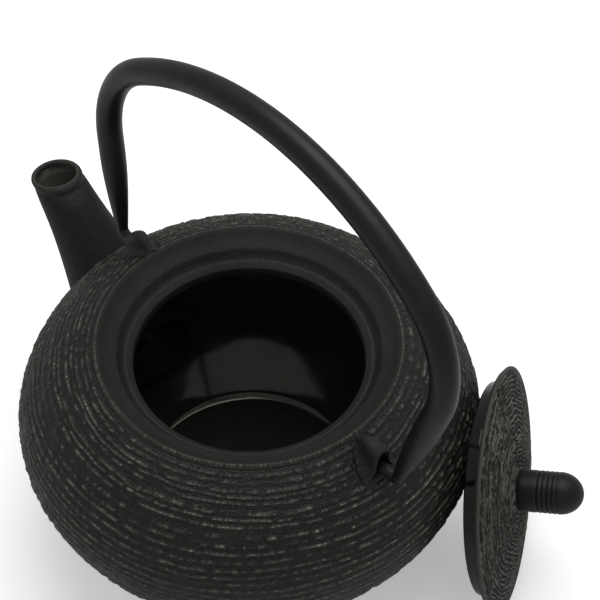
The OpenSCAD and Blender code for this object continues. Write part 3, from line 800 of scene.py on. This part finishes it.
def tube_r(way):
    """Radius of the tube by the way left to its end: a quarter wave down to the rod."""
    return rod_r + (bail_r - rod_r) * np.sin(np.pi / 2 * np.minimum(1, way / taper))


line = bail_line()
back_line = line[:0:-1] * np.array([-1, 1, -1, 1])
whole = np.concatenate([back_line, line])
turn = np.linspace(0, 2 * np.pi, 48, endpoint=False)


def tube_skin(inset):
    """Rings square to the arch, of the tube's radius less inset."""
    r = (tube_r(whole[:, 3]) - inset)[:, None]
    return np.stack([whole[:, :1] + r * np.cos(turn) * np.sin(whole[:, 2:3]),
                     r * np.sin(turn), whole[:, 1:2] + r * np.cos(turn)
                     * np.cos(whole[:, 2:3])], axis=2)


rings = stood(np.concatenate([tube_skin(0.0), tube_skin(bail_wall)[::-1]]))
bail = surface("bail_arch", rings, quads(len(rings), 48, close_rows=True))


def satin_black(name, colour, rough_low, rough_high, peel_scale, peel_h):
    """Satin black coating: an orange peel peel_h metres high and a patchy sheen."""
    material, tree, out = blank(name)
    place = node(tree, "ShaderNodeTexCoord").outputs["Object"]
    peel = noise(tree, place, peel_scale, 3.0, 0.55)
    patch = noise(tree, place, 60.0, 3.0, 0.6)
    dark, light = [(*[c * share for c in colour], 1) for share in (0.7, 1.3)]
    return coated(material, tree, out, {
        "Base Color": between(tree, patch, dark, light),
        "Roughness": remap(tree, patch, 0.3, 0.7, rough_low, rough_high),
        "Normal": bumped(tree, peel, 0.3, peel_h), "IOR": 1.34})


bail_black = satin_black("satin black coat", (0.0065, 0.0065, 0.0066), rough_low=0.34,
                         rough_high=0.48, peel_scale=1100.0, peel_h=0.00006)
finished(bail, bail_black, sharp=60)
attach(bail, "bail")
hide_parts("bail_tube")

# ---- Bail ends --------------------------------------------------------------------
# Each is one solid steel rod, coated with the bail: a shank pressed into the tube, a
# short neck, a tight bend, and the pin that turns in its lug's socket.
shank_len, shank_r, elbow_r, pin_end_gap = 12.0, 1.25, 2.2, 0.3
neck_len = (leg_end[1] - elbow_r * (1 - np.sin(leg_a))) / np.cos(leg_a) + trim
elbow_at = leg_end + (neck_len - trim) * leg_way
elbow_mid = elbow_at + elbow_r * np.array([-np.cos(leg_a), np.sin(leg_a)])
pin_tip = lug_reach - lug_pocket - socket_len + bail_shift + pin_end_gap
neck_r = tube_r(trim)
up_way = -leg_way
shank = np.array([[shank_len, 0.0], [shank_len, shank_r - 0.4], [shank_len - 0.4, shank_r],
                  [0.3, shank_r], [0.0, 1.4], [0.0, neck_r - 0.12], [-0.12, neck_r],
                  [-neck_len + 0.2, neck_r]])
straight = leg_end + trim * up_way + shank[:, :1] * up_way
bent = np.linspace(leg_a, np.pi / 2, 14)
bend = elbow_mid + elbow_r * np.stack([np.cos(bent), -np.sin(bent)], 1)
pin = np.array([[elbow_mid[0] - 0.4, pin_r + 0.02], [elbow_mid[0] - 0.8, pin_r],
                [pin_tip + 0.45, pin_r], [pin_tip + 0.12, pin_r - 0.14],
                [pin_tip, pin_r - 0.45], [pin_tip, 0.0]])
middle = np.concatenate([straight, bend, np.stack([pin[:, 0], pin[:, 0] * 0], 1)])
slant = np.concatenate([np.full(len(shank), leg_a), bent, np.full(len(pin), np.pi / 2)])
half_r = np.concatenate([shank[:, 1], np.full(len(bent), rod_r), pin[:, 1]])
turn = np.linspace(0, 2 * np.pi, 40, endpoint=False)
rod = np.stack([
    middle[:, :1] + half_r[:, None] * np.cos(turn) * np.cos(slant)[:, None],
    half_r[:, None] * np.sin(turn),
    middle[:, 1:] - half_r[:, None] * np.cos(turn) * np.sin(slant)[:, None]], axis=2)
for side, name in ((-1, "bail_end_front"), (1, "bail_end_rear")):
    rings = stood(rod * np.array([side, 1, 1]))
    end = surface(name.replace("bail_end", "bail_pin"), rings, quads(len(rings), 40))
    finished(end, bail_black, sharp=45)
    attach(end, "bail")
    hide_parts(name)

# ---- Lid --------------------------------------------------------------------------
# A domed disc cast in iron, with a flange under it that drops into the mouth.  Its face
# carries the same broken threads in rings, inside a plain band; it leans on the pot's
# shoulder.
lid_r, lid_edge, lid_dome, lid_t = 45.0, 2.0, 5.5, 3.6
flange_r, flange_h, flange_t, glaze = 39.1, 4.8, 3.0, 0.3
knob_r, knob_len, knob_dome, hole_r, washer_r = 7.7, 22.8, 8.5, 2.2, 6.0
lid_chamfer, lean_gap, ground_gap = 1.3, 0.4, 0.1
lid_place, lid_turn, lid_tilt = np.radians(34.4), np.radians(-1.2), np.radians(14.6)
lid_z = lid_r * np.cos(lid_tilt) - lid_chamfer * np.sin(lid_tilt) + ground_gap

# The flange's end comes nearest the shoulder; lid_out leaves lean_gap between them
flange_at = flange_r - flange_t * np.linspace(0, 1, 5)
lid_out = lean_gap + np.max(
    skin_r(lid_z + flange_at * np.cos(lid_tilt) - flange_h * np.sin(lid_tilt))
    + flange_h * np.cos(lid_tilt) + flange_at * np.sin(lid_tilt))


def leaning(points):
    """Points drawn about the lid's own axis, tipped over, turned and set against the
    pot's shoulder."""
    x, y, z = points[..., 0], points[..., 1], points[..., 2]
    tip = np.pi / 2 - lid_tilt
    x, z = x * np.cos(tip) + z * np.sin(tip), -x * np.sin(tip) + z * np.cos(tip)
    x, y = (x * np.cos(lid_turn) - y * np.sin(lid_turn) + lid_out,
            x * np.sin(lid_turn) + y * np.cos(lid_turn))
    return np.stack([x * np.cos(lid_place) - y * np.sin(lid_place),
                     x * np.sin(lid_place) + y * np.cos(lid_place), z + lid_z], axis=-1)


def lid_face(r):
    """Height of the lid's face over its edge: a shallow dome, flat under the knob."""
    return lid_edge + lid_dome * (1 - (np.maximum(r, knob_r) / lid_r) ** 2)


# The threads are drawn as the pot's are, in rings about the lid's own axis
lid_around, lid_thread_depth, lid_thread_in, lid_thread_out = 400, 1.05, 9.6, 43.4
draw = np.random.default_rng(31)
pitch = draw.uniform(1.5, 2.1, size=22)
thread_at = lid_thread_in + np.cumsum(pitch) - pitch[0]
kept = thread_at < lid_thread_out
pitch, thread_at = pitch[kept], thread_at[kept]
rings_r = (thread_at[:, None] + pitch[:, None] * row_places).ravel()
threads = len(pitch)
ring_thread = np.repeat(np.arange(threads), 4)
lid_column_w = 2 * np.pi * thread_at[:, None] / lid_around
bark = smooth_noise(threads, lid_around, 0.2, 1.4 / lid_column_w, 41)
run = smooth_noise(threads, lid_around, 0.5, 6.0 / lid_column_w, 42)
strength = 0.62 + 0.38 * smoothstep(-0.9, 0.3, bark + 0.5 * run)
strength = strength * (0.85 + 0.15 * np.tanh(smooth_noise(threads, lid_around, 0.3, 9.0, 43)))
pits = smooth_noise(len(rings_r), lid_around, 0.5, 1.2, 44)
rise = strength[ring_thread] * np.tile(row_lifts, threads)[:, None] + 0.08 * pits
sway = 0.3 * smooth_noise(len(rings_r), lid_around, 14.0, 9.0, 45) \
    + 0.2 * smooth_noise(len(rings_r), lid_around, 7.0, 3.5, 47) \
    + 0.1 * smooth_noise(threads, lid_around, 0.3, 5.0, 46)[ring_thread]
sway = sway * (smoothstep(9, 12, rings_r) * (1 - smoothstep(40.5, 43.4, rings_r)))[:, None]
angle = np.linspace(0, 2 * np.pi, lid_around, endpoint=False)
at = rings_r[:, None] + sway
face = np.stack([at * np.cos(angle), at * np.sin(angle),
                 lid_face(at) - lid_thread_depth * (1 - np.clip(rise, 0, 1))], axis=2)
hub = eased([(hole_r, lid_face(0), 0), (knob_r + 0.1, lid_face(0), 0.3),
             (knob_r + 0.9, lid_face(knob_r + 0.9) - 0.4, 0)], 3)
band = [(r, lid_face(r) - low, cut)
        for r, low, cut in ((43.95, 0.4, 0), (44.1, 0.25, 0.08), (44.3, 0.03, 0.12))]
flange_in = flange_r - flange_t + glaze
rim = eased(band + [
    (lid_r, lid_edge, 0.35), (lid_r, lid_chamfer, 0.3), (lid_r - lid_chamfer, glaze, 0.3),
    (flange_r - glaze, glaze, 0.3), (flange_r - glaze, glaze - flange_h, 0.5),
    (flange_in, glaze - flange_h, 0.5), (flange_in, lid_face(36) - lid_t + glaze, 1.0),
    (32.0, lid_face(32) - lid_t + glaze, 0)])
inside = np.linspace(30, washer_r, 14)
under_face = np.concatenate([
    np.stack([inside, lid_face(inside) - lid_t + glaze], 1),
    [(hole_r, lid_face(washer_r) - lid_t + glaze)]])
lid_grid = np.concatenate([turned(hub, lid_around), face, turned(rim, lid_around),
                           turned(under_face, lid_around)])
lid = surface("lid_disc", leaning(lid_grid), quads(len(lid_grid), lid_around, close_rows=True))

# Its marks for the finish: threads by their rise, the plain band a little worn, and the
# knob's seat not at all
threaded_rows = slice(len(hub), len(hub) + len(face))
lid_proud = np.full(lid_grid.shape[:2], 0.5)
lid_proud[:len(hub)] = 0.1
lid_proud[threaded_rows] = np.clip(rise, 0, 1)
lid_threaded = np.zeros(lid_grid.shape[:2])
lid_threaded[threaded_rows] = 1
marked(lid, lid_proud.ravel(), lid_threaded.ravel(),
       np.broadcast_to(angle, lid_proud.shape).ravel(),
       np.hypot(lid_grid[..., 0], lid_grid[..., 1]).ravel())
finished(lid, iron_finish("blackened iron lid", worn=(0.155, 0.150, 0.130), along=2.4,
                          fleck_low=0.55, hollow_rough=0.3, beaded=0.0), sharp=60)
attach(lid, "lid")
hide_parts("lid_casting")

# ---- Lid enamel -------------------------------------------------------------------
# Black glass with a faint speckle, fired onto the flange and the whole underside of the
# lid, a few tenths of a millimetre thick.
def under_line(inset):
    """The underside's outline from the edge inwards, over the flange and up the dome,
    inset millimetres into the iron."""
    inner = flange_r - flange_t + inset
    dome = np.linspace(inner - 3.0, washer_r, 14)
    return np.concatenate([
        eased([(lid_r - lid_chamfer, inset, 0), (flange_r - inset, inset, 0.3),
               (flange_r - inset, inset - flange_h, 0.6), (inner, inset - flange_h, 0.6),
               (inner, lid_face(inner) - lid_t + inset, 1.0),
               (inner - 2.4, lid_face(inner - 2.4) - lid_t + inset, 0)]),
        np.stack([dome, lid_face(dome) - lid_t + inset], 1)])


line = np.concatenate([under_line(0.0), under_line(glaze + 0.03)[::-1]])
grid = leaning(turned(line, 180))
glass = surface("lid_lining", grid, quads(len(grid), 180, close_rows=True))
finished(glass, enamel_finish("speckled enamel", colour=(0.004, 0.004, 0.004),
                              speckle=0.03, gloss=1.34, glint=(1.0, 1.0, 1.0),
                              wave_h=0.0016), sharp=55)
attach(glass, "lid")
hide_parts("lid_enamel")

# ---- Knob -------------------------------------------------------------------------
# A turned knob, lacquered matt black, with five fine grooves and a domed end.  A screw
# from below holds it on the middle of the lid.
groove_step, groove_half, floor_half = 1.8, 0.62, 0.16
groove_first = knob_len - knob_dome - 4 * groove_step
seat = lid_face(0)
corners = [(0, 0, 0), (knob_r - 0.15, 0, 0.2), (knob_r - 0.05, 1.2, 0.3)]
for k, cut in enumerate((0.21, 0.14, 0.19, 0.14, 0.2)):
    z = groove_first + groove_step * k - 0.5
    corners += [(knob_r, z - groove_half, 0.24), (knob_r - cut, z - floor_half, 0.14),
                (knob_r - cut, z + floor_half, 0.14), (knob_r, z + groove_half, 0.24)]
outline = eased(corners + [(knob_r, knob_len - knob_dome, 0)], 3)
climb = np.linspace(0, np.pi / 2, 20)[1:]
dome = np.stack([knob_r * np.cos(climb), knob_len - knob_dome + knob_dome * np.sin(climb)], 1)
line = np.concatenate([outline, dome]) + np.array([0, seat])
knob_grid = leaning(turned(line, 96))
knob = surface("lid_knob", knob_grid, quads(len(knob_grid), 96))
finished(knob, satin_black("matt black lacquer", (0.0055, 0.0055, 0.0055), rough_low=0.42,
                           rough_high=0.55, peel_scale=1500.0, peel_h=0.00008), sharp=50)
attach(knob, "lid")
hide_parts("knob")

# ---- Screw and washer -------------------------------------------------------------
# A plated steel screw with a domed head and crossed slots, driven up through the lid
# into the knob, and the flat washer that lies between its head and the enamel.
screw_r, head_r, head_h, screw_grip, slot_w, washer_t = 2.0, 3.9, 2.4, 12.0, 0.9, 0.8
screw_seat = lid_face(washer_r) - lid_t + glaze - washer_t


def bright_steel(name):
    """Plated steel: a fine grain in its sheen."""
    material, tree, out = blank(name)
    grain = noise(tree, node(tree, "ShaderNodeTexCoord").outputs["Object"], 1800.0, 2.0, 0.5)
    return coated(material, tree, out, {
        "Base Color": (0.56, 0.56, 0.55, 1), "Metallic": 1.0,
        "Roughness": remap(tree, grain, 0.3, 0.7, 0.24, 0.4),
        "Normal": bumped(tree, grain, 0.2, 0.00003)})


steel = bright_steel("plated steel")
screw_top = seat + screw_grip - 0.4
line = eased([(0, screw_top, 0), (screw_r - 0.5, screw_top, 0.3),
              (screw_r, seat + screw_grip - 1, 0.3), (screw_r, screw_seat, 0.1),
              (head_r, screw_seat, 0.25), (head_r, screw_seat - 1.0, 0.8),
              (2.6, screw_seat - head_h + 0.1, 0.9), (0, screw_seat - head_h, 0)])
screw = surface("knob_screw_pan", leaning(turned(line, 64)), quads(len(line), 64))

# Two crossed blades cut the slots
blades = []
for wide, deep in ((5.2, slot_w), (slot_w, 5.2)):
    x, y = wide / 2, deep / 2
    loop = np.array([(x, y), (-x, y), (-x, -y), (x, -y)])
    box = np.stack([np.column_stack([loop, np.full(4, z)])
                    for z in (screw_seat - 3.2, screw_seat - 1.3)])
    blades.append(capped("slot", leaning(box)))
carve(screw, blades, "DIFFERENCE")
finished(screw, steel, sharp=35)
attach(screw, "lid")
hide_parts("knob_screw")

line = eased([(hole_r, screw_seat + washer_t / 2, 0), (hole_r, screw_seat, 0.12),
              (washer_r, screw_seat, 0.15), (washer_r, screw_seat + washer_t, 0.15),
              (hole_r, screw_seat + washer_t, 0.12),
              (hole_r, screw_seat + washer_t / 2, 0)], 3)[:-1]
washer = surface("knob_washer_ring", leaning(turned(line, 72)),
                 quads(len(line), 72, close_rows=True))
finished(washer, steel, sharp=40)
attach(washer, "lid")
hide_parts("knob_washer")
